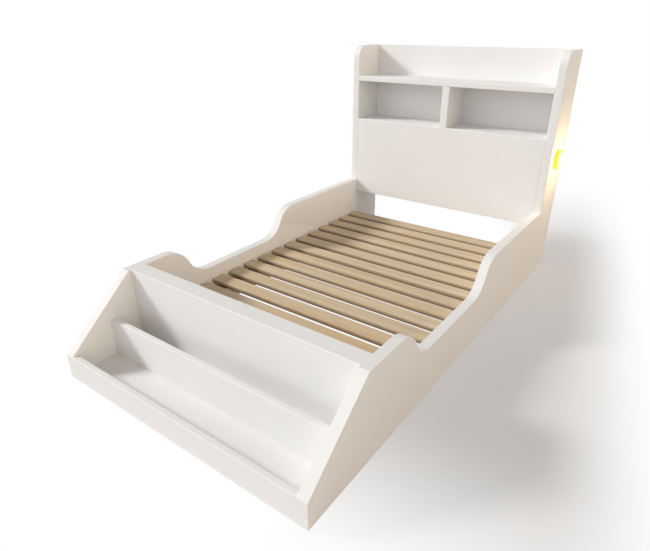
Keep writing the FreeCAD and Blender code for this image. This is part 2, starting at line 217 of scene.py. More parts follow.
# Node trees
class Value:
    """One output of a node. Arithmetic on values adds Math nodes to their tree."""

    def __init__(self, graph, socket):
        self.graph = graph
        self.socket = socket

    def maths(self, operation, first, second, clamp=False):
        settings = {"operation": operation, "use_clamp": clamp}
        return self.graph.node("ShaderNodeMath", settings, {0: first, 1: second})

    def __add__(self, other):
        return self.maths("ADD", self, other)

    def __sub__(self, other):
        return self.maths("SUBTRACT", self, other)

    def __rsub__(self, other):
        return self.maths("SUBTRACT", other, self)

    def __mul__(self, other):
        return self.maths("MULTIPLY", self, other)

    __radd__ = __add__

    def at_least(self, least):
        return self.maths("MAXIMUM", self, least)

    def clamped(self):
        return self.maths("ADD", self, 0.0, clamp=True)

    def above(self, low, high):
        """0 below low, 1 above high, and a smooth step between them."""
        return self.graph.node("ShaderNodeMapRange", {"interpolation_type": "SMOOTHSTEP"}, {
            "Value": self, "From Min": low, "From Max": high})

    def part(self, axis):
        """One coordinate of a vector value."""
        return self.graph.node("ShaderNodeSeparateXYZ", None, {"Vector": self}, axis)


class Graph:
    """Node tree that is being built."""

    def __init__(self, tree):
        self.tree = tree
        tree.nodes.clear()

    def node(self, kind, settings=None, inputs=None, output=0):
        made = self.tree.nodes.new(kind)
        for name, setting in (settings or {}).items():
            setattr(made, name, setting)
        for name, value in (inputs or {}).items():
            if isinstance(value, Value):
                self.tree.links.new(value.socket, made.inputs[name])
            else:
                made.inputs[name].default_value = value
        return Value(self, made.outputs[output]) if made.outputs else None

    def mix(self, factor, first, second):
        """Colour between two colours."""
        return self.node("ShaderNodeMix", {"data_type": "RGBA"}, {
            0: factor, 6: rgba(first), 7: rgba(second)}, 2)

    def place(self, scale, offset=None):
        """Object coordinates, stretched by scale along each axis, and shifted by a vector value."""
        spot = self.node("ShaderNodeTexCoord", output="Object")
        if offset is not None:
            spot = self.node("ShaderNodeVectorMath", {"operation": "ADD"}, {0: spot, 1: offset})
        return self.node("ShaderNodeMapping", None, {"Vector": spot, "Scale": scale})

    def noise(self, spot, scale, detail=2.0, roughness=0.5, distortion=0.0):
        return self.node("ShaderNodeTexNoise", None, {
            "Vector": spot, "Scale": scale, "Detail": detail, "Roughness": roughness,
            "Distortion": distortion})

    def attribute(self, name):
        return self.node("ShaderNodeAttribute", {"attribute_name": name}, output="Fac")

    def bump(self, height, strength, distance):
        return self.node("ShaderNodeBump", None, {
            "Height": height, "Strength": strength, "Distance": distance}, "Normal")


def rgba(value):
    """Colour with its alpha, or a colour value as it is."""
    return value if isinstance(value, Value) else (*value, 1.0)


def surface(name, draw):
    """Material whose shader sockets are what draw returns for its graph. Each is made once."""
    material = bpy.data.materials.get(name)
    if material is None:
        material = bpy.data.materials.new(name)
        material.use_nodes = True
        graph = Graph(material.node_tree)
        shader = graph.node("ShaderNodeBsdfPrincipled", None, draw(graph))
        graph.node("ShaderNodeOutputMaterial", None, {"Surface": shader})
    return material


# Finishes
def satin_paint():
    boards = bpy.context.scene.bed_boards

    def draw(graph):
        spot = graph.place((1, 1, 1))
        mottle = graph.noise(spot, 5.0, 3.0)
        roller = graph.noise(spot, 70.0, 2.0)
        peel = graph.noise(spot, 620.0, 1.0)
        edge = graph.attribute("edge")
        flat = graph.mix(mottle.above(0.35, 0.7), boards.paint, boards.paint_shade)
        return {
            # Painted highlight: the rounded edge faces are mixed towards a lighter colour.
            "Base Color": graph.mix(edge * 0.7, flat, boards.paint_edge_highlight),
            "Roughness": 0.55 + mottle * 0.08 + roller * 0.05 - edge * 0.06,
            "Specular IOR Level": 0.30,
            "Normal": graph.bump(peel * 0.5 + roller * 1.2, 0.10, 0.0005),
        }

    return surface("satin_paint", draw)


def planed_wood(name, along):
    """Bare planed wood with its grain along an axis, and painted shade low on its sides. A piece may be
    toned.
    """
    slats = bpy.context.scene.bed_slats
    low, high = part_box(SLATS[0])

    def stretched(lengthwise, crosswise):
        return [lengthwise if axis == along else crosswise for axis in "XYZ"]

    def draw(graph):
        tone = graph.attribute("tone")
        shift = graph.node("ShaderNodeCombineXYZ", None, {
            "X": tone * 31.0, "Y": tone * 7.0, "Z": tone * 13.0})
        wander = graph.noise(graph.place(stretched(1.1, 9.0), shift), 1.0, 2.0)
        rings = graph.noise(graph.place(stretched(0.9, 46.0), shift), 1.0, 4.0, 0.55, 1.4)
        fibre = graph.noise(graph.place(stretched(14.0, 620.0), shift), 1.0, 3.0, 0.6)
        pores = graph.noise(graph.place(stretched(40.0, 1500.0), shift), 1.0, 1.0).above(0.60, 0.72)
        facing = graph.node("ShaderNodeNewGeometry", output="Normal")
        lengthwise = facing.part(along)
        end_grain = (lengthwise * lengthwise).above(0.4, 0.8)
        upward = facing.part("Z")
        # Painted shade: side faces are darkened, more the lower they lie within the slats' height, as shade
        # falls between the slats.
        side = 1.0 - (upward * upward).above(0.2, 0.7)
        painted_shade = side * (1.0 - graph.place((1, 1, 1)).part("Z").above(low.z, high.z))
        grain = rings.above(0.38, 0.66) * 0.7 + fibre.above(0.35, 0.75) * 0.3
        wood = graph.mix(grain, slats.light, slats.dark)
        wood = graph.mix(wander.above(0.56, 0.78) * 0.55, wood, slats.heart)
        wood = graph.mix(pores * 0.25 + end_grain * 0.5, wood, slats.dark)
        # Mixes the painted shade into the colour of the sides.
        wood = graph.mix(painted_shade * 0.95, wood, slats.painted_shade)
        dull = graph.mix(tone * 0.30, (1.0, 1.0, 1.0), (0.88, 0.85, 0.80))
        tinted = graph.node("ShaderNodeMix", {"data_type": "RGBA", "blend_type": "MULTIPLY"},
                            {0: 1.0, 6: wood, 7: dull}, 2)
        return {
            "Base Color": tinted,
            "Roughness": 0.56 + fibre * 0.16,
            "Specular IOR Level": 0.3,
            "Normal": graph.bump(fibre * 0.6 + rings * 0.5 - pores * 0.8, 0.22, 0.0004),
        }

    return surface(name, draw)


def slat_wood():
    return planed_wood("slat_wood", "X")


def ledger_wood():
    return planed_wood("ledger_wood", "Y")


def beech_wood():
    def draw(graph):
        fleck = graph.noise(graph.place((160.0, 160.0, 160.0)), 3.0, 3.0)
        return {
            "Base Color": graph.mix(fleck, (0.62, 0.44, 0.26), (0.74, 0.57, 0.37)),
            "Roughness": 0.55 + fleck * 0.2,
            "Normal": graph.bump(fleck, 0.2, 0.0003),
        }

    return surface("beech_wood", draw)


def metal(name, tint, dark, roughness):
    """Metal with fine scratches and a dull film."""
    def draw(graph):
        film = graph.noise(graph.place((1, 1, 1)), 240.0, 3.0)
        scratch = graph.noise(graph.place((1.0, 1.0, 14.0)), 900.0, 2.0)
        return {
            "Base Color": graph.mix(film.above(0.4, 0.75), tint, dark),
            "Metallic": 1.0,
            "Roughness": roughness + film * 0.16 + scratch * 0.08,
            "Normal": graph.bump(scratch, 0.12, 0.0001),
        }

    return surface(name, draw)


def zinc_plate():
    zinc = bpy.context.scene.bed_fittings.zinc
    return metal("zinc_plate", zinc, [0.78 * part for part in zinc], 0.28)


def zinc_casting():
    zinc = bpy.context.scene.bed_fittings.zinc
    return metal("zinc_casting", [0.85 * part for part in zinc], [0.62 * part for part in zinc], 0.42)


def moulded(name, tint, roughness, glow=None, strength=0.0):
    """Moulded plastic with a faint flow pattern. It may be lit from inside."""
    def draw(graph):
        flow = graph.noise(graph.place((1, 1, 1)), 55.0, 2.0, 0.5, 0.8)
        grain = graph.noise(graph.place((1, 1, 1)), 1400.0, 1.0)
        sockets = {
            "Base Color": graph.mix(flow, tint, [0.92 * part for part in tint]),
            "Roughness": roughness + grain * 0.06,
            "Normal": graph.bump(grain, 0.06, 0.0002),
        }
        if glow is not None:
            sockets["Emission Color"] = graph.mix(flow * 0.3, glow, [0.9 * part for part in glow])
            sockets["Emission Strength"] = strength
        return sockets

    return surface(name, draw)


def opal_lens():
    """Opal lens lit from inside: palest over its middle, warmer towards its rim."""
    light = bpy.context.scene.bed_light
    low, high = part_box("lamp_lens")
    middle = (low + high) / 2
    across = 2 / (high.z - low.z)

    def draw(graph):
        spot = graph.place((1, 1, 1))
        aside = (spot.part("Y") - middle.y) * across
        above = (spot.part("Z") - middle.z) * across
        rim = (aside * aside + above * above).above(0.15, 0.95)
        return {
            "Base Color": rgba(light.lens),
            "Roughness": 0.35,
            "Emission Color": graph.mix(rim, light.core, light.glow),
            "Emission Strength": light.lens_strength,
        }

    return surface("opal_lens", draw)


# Meshes
def new_piece(name, mesh, *materials):
    piece = bpy.data.objects.new(name, mesh)
    for material in materials:
        mesh.materials.append(material)
    bpy.context.scene.collection.objects.link(piece)
    return piece


def mesh_from(bm, name):
    mesh = bpy.data.meshes.new(name)
    bm.to_mesh(mesh)
    bm.free()
    return mesh


def settle(piece):
    """Replaces a piece's mesh by the one that its modifiers make."""
    depsgraph = bpy.context.evaluated_depsgraph_get()
    depsgraph.update()
    first = piece.data
    piece.data = bpy.data.meshes.new_from_object(
        piece.evaluated_get(depsgraph), preserve_all_data_layers=True, depsgraph=depsgraph)
    piece.modifiers.clear()
    bpy.data.meshes.remove(first)


def fit(piece, slot, body, *nodes):
    """Puts a finished piece on its body, in the place of the frame's nodes."""
    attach(piece, body)
    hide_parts(*nodes)


def arc_corners(corners, step=math.radians(5)):
    """Points of an outline from (u, v, radius) corners, each rounded by an arc tangent to its two sides."""
    points = []
    for i, (u, v, radius) in enumerate(corners):
        corner = Vector((u, v))
        if radius == 0:
            points.append(corner)
            continue
        before = (Vector(corners[i - 1][:2]) - corner).normalized()
        after = (Vector(corners[(i + 1) % len(corners)][:2]) - corner).normalized()
        half = before.angle(after) / 2
        start = corner + before * (radius / math.tan(half))
        centre = corner + (before + after).normalized() * (radius / math.sin(half))
        sweep = math.pi - 2 * half
        turn = math.copysign(1, (start - centre).cross(corner - centre))
        count = max(2, math.ceil(sweep / step))
        for k in range(count + 1):
            points.append(centre + Matrix.Rotation(turn * sweep * k / count, 2) @ (start - centre))
    return points


def prism(outline, low, high, axis):
    """Solid between two X or Z levels, with its outline in the other two axes."""
    bm = bmesh.new()

    def corner(point, level):
        return (level, *point) if axis == "X" else (*point, level)

    rings = [[bm.verts.new(corner(point, level)) for point in outline] for level in (low, high)]
    bm.faces.new(rings[0])
    bm.faces.new(rings[1])
    for i in range(len(outline)):
        bm.faces.new((rings[0][i - 1], rings[0][i], rings[1][i], rings[1][i - 1]))
    bmesh.ops.recalc_face_normals(bm, faces=bm.faces)
    return bm


def ease_edges(bm, is_rounded, rounded, arris):
    """Gives each sharp edge its share of the full rounding, as the weight that a bevel reads."""
    weight = bm.edges.layers.float.new("bevel_weight_edge")
    for edge in bm.edges:
        if edge.calc_face_angle(0) > CREASE:
            edge[weight] = 1.0 if is_rounded(edge) else arris / rounded


def bevelled(piece, width, segments=3):
    """Rounds the weighted edges of a piece, and marks the new faces in its edge attribute."""
    bevel = piece.modifiers.new("rounded_edges", "BEVEL")
    bevel.limit_method = "WEIGHT"
    bevel.width = width
    bevel.segments = segments
    bevel.material = 1
    bevel.use_clamp_overlap = True
    piece.data.materials.append(piece.data.materials[0])
    piece.data.shade_smooth()
    piece.modifiers.new("flat_faces", "WEIGHTED_NORMAL").keep_sharp = True
    settle(piece)
    mesh = piece.data
    edge = mesh.attributes.new("edge", "FLOAT", "FACE")
    for polygon in mesh.polygons:
        edge.data[polygon.index].value = polygon.material_index
        polygon.material_index = 0
    mesh.materials.pop()


def bored(piece, node):
    """Cuts the bores of the cam fittings that lie in a board."""
    room = bpy.context.scene.bed_fittings.clearance
    low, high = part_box(node)
    for cam_low, cam_high in loose_solids("cam_locks"):
        middle = (cam_low + cam_high) / 2
        if not all(low[i] < middle[i] < high[i] for i in range(3)):
            continue
        size = cam_high - cam_low
        axis = min(range(3), key=lambda i: size[i])
        radius = max(size) / 2 + room
        turn = UP.rotation_difference(Vector([float(i == axis) for i in range(3)])).to_matrix().to_4x4()
        bm = bmesh.new()
        bmesh.ops.create_cone(bm, cap_ends=True, segments=40, radius1=radius, radius2=radius,
                              depth=size[axis] + 2 * room, matrix=Matrix.Translation(middle) @ turn)
        cut(piece, bm, "cam_bore")


def cut(piece, bm, name):
    """Cuts a shape out of a piece."""
    cutter = new_piece(name, mesh_from(bm, name))
    hole = piece.modifiers.new(name, "BOOLEAN")
    hole.object = cutter
    hole.solver = "EXACT"
    settle(piece)
    discard(cutter)


def discard(piece):
    mesh = piece.data
    bpy.data.objects.remove(piece)
    bpy.data.meshes.remove(mesh)


def cuboid(size, place):
    """Box of the given size about the origin of a place."""
    bm = bmesh.new()
    bmesh.ops.create_cube(bm, size=1, matrix=place @ Matrix.Diagonal((*size, 1)))
    return bm


def loose_solids(node):
    """Lowest and highest corners of each separate solid of a frame node."""
    bm = bmesh.new()
    bm.from_mesh(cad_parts[node].data)
    bmesh.ops.remove_doubles(bm, verts=bm.verts, dist=1e-5)
    left = set(bm.verts)
    boxes = []
    while left:
        island = []
        front = [left.pop()]
        while front:
            vert = front.pop()
            island.append(vert.co.copy())
            near = {edge.other_vert(vert) for edge in vert.link_edges} & left
            left -= near
            front.extend(near)
        boxes.append(tuple(Vector([pick(co[i] for co in island) for i in range(3)]) for pick in (min, max)))
    bm.free()
    return sorted(boxes, key=lambda box: tuple(round(part, 5) for part in box[0]))


# Boards
FINISHES = {"painted": ("white_board", satin_paint), "bare": ("bare_wood", ledger_wood)}


def finished_board(node, outline, axis, is_rounded, finish="painted"):
    """Board in the place of a frame node, from its outline and the node's span along the axis."""
    boards = bpy.context.scene.bed_boards
    low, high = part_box(node)
    level = "XYZ".index(axis)
    bm = prism(outline, low[level], high[level], axis)
    ease_edges(bm, is_rounded, boards.edge_round, boards.arris)
    slot, material = FINISHES[finish]
    piece = new_piece(f"{node}_{finish}", mesh_from(bm, node), material())
    bevelled(piece, boards.edge_round)
    bored(piece, node)
    fit(piece, slot, "bed", node)
    return piece


def on_line(edge, y=None, z=None, slack=1e-5):
    """True where both ends of an edge lie at the given y and z."""
    return all((y is None or abs(vert.co.y - y) < slack) and (z is None or abs(vert.co.z - z) < slack)
               for vert in edge.verts)


def plain_board(node, *rounded, finish="painted"):
    """Straight board. Its rounded edges are named by the side in Y and the side in Z that they lie on."""
    low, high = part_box(node)
    ends = {"front": low.y, "back": high.y, "bottom": low.z, "top": high.z}
    outline = [(low.y, low.z), (high.y, low.z), (high.y, high.z), (low.y, high.z)]
    lines = [(ends[y], ends[z]) for y, z in rounded]
    return finished_board(node, outline, "X",
                          lambda edge: any(on_line(edge, y, z) for y, z in lines), finish)


def side_outline(low, high):
    """Side panel seen from the side: sloping front, shoulder, valley between two S-curves, shoulder."""
    boards = bpy.context.scene.bed_boards
    shoulder = high.z
    valley = low.z + boards.valley_height
    drop = shoulder - valley
    bend = 2 * math.atan(drop / boards.wave_run)
    reach = drop / math.sin(bend) / 2
    radius = reach / math.tan(bend / 2)
    foot = low.y + boards.foot_shoulder
    head = high.y - boards.head_shoulder
    return arc_corners((
        (low.y, low.z, 0),
        (high.y, low.z, 0),
        (high.y, shoulder, 0),
        (head - reach, shoulder, radius),
        (head - boards.wave_run + reach, valley, radius),
        (foot + boards.wave_run - reach, valley, radius),
        (foot + reach, shoulder, radius),
        (low.y + boards.slope_run, shoulder, boards.corner_round),
        (low.y, low.z + boards.lip_height, boards.corner_round),
    ))


def profile_edge(edge, joined, bottom):
    """True for the edges of a shaped board that are rounded: not along the floor or the joined end."""
    along = abs(edge.verts[0].co.x - edge.verts[1].co.x) < 1e-6
    return along and not on_line(edge, y=joined) and not on_line(edge, z=bottom)


# Turned pieces and fittings
def lathe(points, segments, close=True):
    """Surface of revolution about Z, from (radius, height) points in order round the profile."""
    bm = bmesh.new()
    rings = []
    for radius, height in points:
        if radius < 1e-9:
            rings.append([bm.verts.new((0, 0, height))] * segments)
            continue
        angles = (2 * math.pi * k / segments for k in range(segments))
        rings.append([bm.verts.new((radius * math.cos(a), radius * math.sin(a), height)) for a in angles])
    pairs = list(zip(rings, rings[1:]))
    if close:
        pairs.append((rings[-1], rings[0]))
    for inner, outer in pairs:
        for k in range(segments):
            corners = [inner[k - 1], inner[k], outer[k], outer[k - 1]]
            distinct = list(dict.fromkeys(corners))
            if len(distinct) > 2:
                bm.faces.new(distinct)
    bmesh.ops.recalc_face_normals(bm, faces=bm.faces)
    return bm


def smooth(piece, sharp=math.radians(35)):
    """Smooth shading, with creases where the faces turn by more than the given angle."""
    piece.data.shade_smooth()
    piece.data.set_sharp_from_angle(angle=sharp)


def countersunk_screw(head, shank, reach):
    """Countersunk screw with a cross recess. It points down, with the rim of its head at height 0."""
    fittings = bpy.context.scene.bed_fittings
    rim = fittings.proud
    profile = ((0, rim), (head * fittings.crown, rim), (head, 0), (shank, shank - head), (shank, -reach),
               (0, -reach - shank))
    screw = new_piece("screw", mesh_from(lathe(profile, 20, close=False), "screw"))
    slot = (head * fittings.recess_reach, fittings.recess_width, 2 * fittings.recess_depth)
    for turn in (0, math.pi / 2):
        place = Matrix.Translation((0, 0, rim)) @ Matrix.Rotation(turn, 4, "Z")
        cut(screw, cuboid(slot, place), "recess")
    smooth(screw)
    return screw


def geometry_tree(name, inputs):
    """Geometry node tree with named inputs. Returns its graph and a value for each input."""
    tree = bpy.data.node_groups.new(name, "GeometryNodeTree")
    for label, kind in inputs.items():
        tree.interface.new_socket(label, in_out="INPUT", socket_type=f"NodeSocket{kind}")
    tree.interface.new_socket("Geometry", in_out="OUTPUT", socket_type="NodeSocketGeometry")
    graph = Graph(tree)
    entry = tree.nodes.new("NodeGroupInput")
    return graph, {label: Value(graph, entry.outputs[label]) for label in inputs}


def end_tree(graph, instances, finish):
    """Realizes the instances, gives them their finish and closes the tree."""
    plain = graph.node("GeometryNodeRealizeInstances", None, {"Geometry": instances})
    dressed = graph.node("GeometryNodeSetMaterial", None, {"Geometry": plain, "Material": finish})
    graph.node("NodeGroupOutput", None, {"Geometry": dressed})


def run_tree(piece, tree, values):
    """Runs a geometry node tree on a piece with the named inputs, and keeps the mesh that it makes."""
    modifier = piece.modifiers.new(tree.name, "NODES")
    modifier.node_group = tree
    for socket in tree.interface.items_tree:
        if socket.in_out == "INPUT" and socket.name in values:
            modifier[socket.identifier] = values[socket.name]
    settle(piece)


def slat_row_tree():
    """Row of slats, each with its own tone."""
    graph, entry = geometry_tree("slat_row", {
        "Geometry": "Geometry", "Slat": "Object", "Count": "Int", "First": "Vector", "Step": "Vector",
        "Seed": "Int", "Finish": "Material"})
    row = graph.node("GeometryNodeMeshLine", {"mode": "OFFSET"}, {
        "Count": entry["Count"], "Start Location": entry["First"], "Offset": entry["Step"]})
    slat = graph.node("GeometryNodeObjectInfo", None, {"Object": entry["Slat"]}, "Geometry")
    slats = graph.node("GeometryNodeInstanceOnPoints", None, {"Points": row, "Instance": slat})
    tone = graph.node("FunctionNodeRandomValue", {"data_type": "FLOAT"}, {"Seed": entry["Seed"]}, 1)
    toned = graph.node("GeometryNodeStoreNamedAttribute", {"data_type": "FLOAT", "domain": "INSTANCE"},
                       {"Geometry": slats, "Name": "tone", "Value": tone})
    end_tree(graph, toned, entry["Finish"])
    return graph.tree


def fitting_tree():
    """Fittings at points. Their heads look along the points' facing, and each has a spin of its own."""
    graph, entry = geometry_tree("fittings_at_points", {
        "Geometry": "Geometry", "Fitting": "Object", "Seed": "Int", "Finish": "Material"})
    facing = graph.node("GeometryNodeInputNamedAttribute", {"data_type": "FLOAT_VECTOR"},
                        {"Name": "facing"})
    turned = graph.node("FunctionNodeAlignRotationToVector", {"axis": "Z"}, {"Vector": facing})
    spin = graph.node("FunctionNodeRandomValue", {"data_type": "FLOAT"},
                      {"Seed": entry["Seed"], 3: math.pi}, 1)
    about = graph.node("FunctionNodeAxisAngleToRotation", None, {"Axis": (0, 0, 1), "Angle": spin})
    both = graph.node("FunctionNodeRotateRotation", {"rotation_space": "LOCAL"},
                      {"Rotation": turned, "Rotate By": about})
    fitting = graph.node("GeometryNodeObjectInfo", None, {"Object": entry["Fitting"]}, "Geometry")
    placed = graph.node("GeometryNodeInstanceOnPoints", None, {
        "Points": entry["Geometry"], "Instance": fitting, "Rotation": both})
    end_tree(graph, placed, entry["Finish"])
    return graph.tree


def screws_in(node, facing_at):
    """Screws in the place of a frame group. facing_at gives the way a screw's head looks, from its middle."""
    fittings = bpy.context.scene.bed_fittings
    boxes = loose_solids(node)
    heads = []
    for low, high in boxes:
        middle = (low + high) / 2
        facing = Vector(facing_at(middle))
        reach = abs((high - low).dot(facing))
        heads.append((middle + facing * reach / 2, facing))
    spread = sorted(boxes[0][1] - boxes[0][0])
    head, shank = spread[0] / 2, spread[0] / 4
    mesh = bpy.data.meshes.new(node)
    mesh.from_pydata([point for point, facing in heads], [], [])
    vectors = mesh.attributes.new("facing", "FLOAT_VECTOR", "POINT")
    for item, (point, facing) in zip(vectors.data, heads):
        item.vector = facing
    piece = new_piece(f"{node}_plated", mesh)
    screw = countersunk_screw(head, shank, spread[2] - shank)
    run_tree(piece, fitting_tree(), {"Fitting": screw, "Seed": fittings.seed, "Finish": zinc_plate()})
    discard(screw)
    fit(piece, "zinc_steel", "bed", node)


# Operators, one for each piece or group of like pieces
class BedOperator:
    """What the operators share"""

    bl_options = {"REGISTER", "UNDO"}

    def execute(self, context):
        self.build(context.scene)
        return {"FINISHED"}


class BED_OT_side_panels(BedOperator, bpy.types.Operator):
    """Long side panels with the sloping front and the low valley"""

    bl_idname = "bed.side_panels"
    bl_label = "Side panels"

    def build(self, scene):
        for side in SIDES:
            node = f"side_panel_{side}"
            low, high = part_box(node)
            finished_board(node, side_outline(low, high), "X",
                           lambda edge: profile_edge(edge, high.y, low.z))


class BED_OT_head_sides(BedOperator, bpy.types.Operator):
    """Upright headboard sides, with one rounded corner and the groove of the back panel"""

    bl_idname = "bed.head_sides"
    bl_label = "Headboard sides"

    def build(self, scene):
        boards = scene.bed_boards
        panel_low, panel_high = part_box("head_back_panel")
        for side in SIDES:
            node = f"head_side_{side}"
            low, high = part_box(node)
            corners = ((low.y, low.z, 0), (high.y, low.z, 0), (high.y, high.z, 0),
                       (low.y, high.z, boards.head_round))
            piece = finished_board(node, arc_corners(corners), "X",
                                   lambda edge: profile_edge(edge, high.y, low.z))
            groove_low = Vector((panel_low.x, panel_low.y - boards.arris, panel_low.z))
            groove_high = Vector((panel_high.x, panel_high.y + boards.arris, high.z + boards.edge_round))
            middle = Matrix.Translation((groove_low + groove_high) / 2)
            cut(piece, cuboid(groove_high - groove_low, middle), "groove")


class BED_OT_foot_boards(BedOperator, bpy.types.Operator):
    """Stepped bookcase at the foot"""

    bl_idname = "bed.foot_boards"
    bl_label = "Foot bookcase"

    def build(self, scene):
        plain_board("foot_lip", ("front", "top"), ("back", "top"))
        plain_board("foot_riser", ("front", "top"), ("back", "top"))
        plain_board("foot_cap", ("front", "top"), ("back", "top"))
        for node in ("foot_floor", "foot_upper_shelf", "foot_back_panel", "foot_end_panel"):
            plain_board(node)


class BED_OT_head_boards(BedOperator, bpy.types.Operator):
    """Headboard front, shelves, divider and back panel"""

    bl_idname = "bed.head_boards"
    bl_label = "Headboard"

    def build(self, scene):
        plain_board("head_front_panel", ("front", "top"), ("front", "bottom"))
        plain_board("head_top_shelf", ("front", "top"), ("front", "bottom"))
        for node in ("head_bottom_board", "head_cubby_shelf", "head_back_panel"):
            plain_board(node)
        low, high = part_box("head_divider")
        outline = [(low.x, low.y), (high.x, low.y), (high.x, high.y), (low.x, high.y)]
        finished_board("head_divider", outline, "Z", lambda edge: on_line(edge, y=low.y)
                      and abs(edge.verts[0].co.z - edge.verts[1].co.z) > 1e-3)


class BED_OT_ledgers(BedOperator, bpy.types.Operator):
    """Battens that carry the slats"""

    bl_idname = "bed.ledgers"
    bl_label = "Slat ledgers"

    def build(self, scene):
        for side in SIDES:
            plain_board(f"slat_ledger_{side}", finish="bare")


class BED_OT_slats(BedOperator, bpy.types.Operator):
    """Row of bare wood slats"""

    bl_idname = "bed.slats"
    bl_label = "Slats"

    def build(self, scene):
        slats = scene.bed_slats
        low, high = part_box(SLATS[0])
        last_low, last_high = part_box(SLATS[-1])
        middle = (low + high) / 2
        half = (high - low) / 2
        corners = [(x * half.x, y * half.y, slats.corner) for x, y in ((-1, -1), (1, -1), (1, 1), (-1, 1))]
        bm = prism(arc_corners(corners, math.radians(15)), -half.z, half.z, "Z")
        ease_edges(bm, lambda edge: on_line(edge, z=half.z), slats.edge_round,
                   slats.edge_round * slats.lower_share)
        slat = new_piece("slat", mesh_from(bm, "slat"), slat_wood())
        bevelled(slat, slats.edge_round)
        piece = new_piece("slats_bare", bpy.data.meshes.new("slats_bare"))
        step = (last_low - low) / (len(SLATS) - 1)
        run_tree(piece, slat_row_tree(), {"Slat": slat, "Count": len(SLATS), "First": middle, "Step": step,
                                          "Seed": slats.seed, "Finish": slat_wood()})
        discard(slat)
        fit(piece, "bare_wood", "bed", *SLATS)


class BED_OT_screws(BedOperator, bpy.types.Operator):
    """Screws of the back panel, the ledgers and the slats"""

    bl_idname = "bed.screws"
    bl_label = "Screws"

    def build(self, scene):
        inside = (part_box("slat_01")[0].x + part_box("slat_01")[1].x) / 2
        screws_in("back_panel_screws", lambda middle: (0, 1, 0))
        screws_in("ledger_screws", lambda middle: (math.copysign(1, inside - middle.x), 0, 0))
        screws_in("slat_screws", lambda middle: (0, 0, -1))


class BED_OT_fittings(BedOperator, bpy.types.Operator):
    """Finishes of the dowels and cam fittings inside the joints"""

    bl_idname = "bed.fittings"
    bl_label = "Joint fittings"

    def build(self, scene):
        dress("dowels", beech_wood())
        dress("cam_bolts", zinc_plate())
        dress("cam_locks", zinc_casting())
        dress("lamp_screws", zinc_plate())


def dress(node, material):
    """Gives a frame node its finish."""
    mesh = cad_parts[node].data
    mesh.materials.clear()
    mesh.materials.append(material)


def light_place(bm):
    """Turns a shape made about Z to the push light's axis, with height 0 on the headboard side."""
    low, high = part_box("lamp_housing")
    centre = Vector((low.x, (low.y + high.y) / 2, (low.z + high.z) / 2))
    place = Matrix.Translation(centre) @ Matrix.Rotation(math.pi / 2, 4, "Y")
    bmesh.ops.transform(bm, matrix=place, verts=bm.verts)


class BED_OT_light_ring(BedOperator, bpy.types.Operator):
    """Moulded ring of the push light"""

    bl_idname = "bed.light_ring"
    bl_label = "Light ring"

    def build(self, scene):
        light = scene.bed_light
        low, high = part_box("lamp_housing")
        depth = high.x - low.x
        outside = (high.z - low.z) / 2
        lens_low, lens_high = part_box("lamp_lens")
        inside = (lens_high.z - lens_low.z) / 2 + light.lens_gap
        mouth = outside - light.ring_width
        ledge = depth - light.ring_lip
        corners = ((inside, 0, 0), (outside, 0, light.foot_round), (outside, depth, light.ring_round),
                   (mouth, depth, light.mouth_round), (mouth, ledge, 0), (inside, ledge, 0))
        bm = lathe([tuple(point) for point in arc_corners(corners, math.radians(18))], 96)
        light_place(bm)
        piece = new_piece("light_ring_moulded", mesh_from(bm, "light_ring"),
                          moulded("yellow_moulding", light.ring, 0.30, light.ring, light.ring_strength))
        smooth(piece)
        fit(piece, "lamp_yellow", "bed", "lamp_housing")


class BED_OT_light_lens(BedOperator, bpy.types.Operator):
    """Finish of the opal lens that is pressed, with its flange and boss"""

    bl_idname = "bed.light_lens"
    bl_label = "Light lens"

    def build(self, scene):
        dress("lamp_lens", opal_lens())


class BED_OT_light_works(BedOperator, bpy.types.Operator):
    """Finishes of the pieces inside the push light"""

    bl_idname = "bed.light_works"
    bl_label = "Light works"

    def build(self, scene):
        light = scene.bed_light
        white = moulded("white_moulding", (0.80, 0.80, 0.78), 0.45)
        dress("lamp_back_plate", white)
        dress("lamp_plunger", white)
        dress("lamp_switch", moulded("black_moulding", (0.03, 0.03, 0.03), 0.4))
        dress("lamp_led_board", moulded("circuit_board", (0.05, 0.22, 0.09), 0.35))
        dress("lamp_leds", moulded("led_phosphor", (0.90, 0.75, 0.20), 0.4, light.glow, light.led_strength))
        dress("lamp_batteries", metal("battery_sleeve", (0.16, 0.18, 0.22), (0.10, 0.11, 0.14), 0.35))


class BED_OT_stage(BedOperator, bpy.types.Operator):
    """Floor, lights and camera"""

    bl_idname = "bed.stage"
    bl_label = "Stage"

    def build(self, scene):
        stage = scene.bed_stage
        scene.view_settings.view_transform = "Standard"
        lay_floor(stage)
        hang_sky(scene, stage)
        sun("key", stage.key_from, stage.key, stage.key_angle, stage.key_colour)
        sun("fill", stage.fill_from, stage.fill, stage.fill_angle, stage.fill_colour)
        sun("front", stage.front_from, stage.front, stage.front_angle, stage.front_colour)
        spill_light(scene.bed_light)
        aim_camera(scene, stage)


def seen(graph):
    """1 for what the camera sees, straight or in a reflection or through glass."""
    path = graph.node("ShaderNodeLightPath", output="Is Camera Ray")
    outputs = path.socket.node.outputs
    glossy = Value(graph, outputs["Is Glossy Ray"])
    through = Value(graph, outputs["Is Transmission Ray"])
    return (path + glossy + through).clamped()


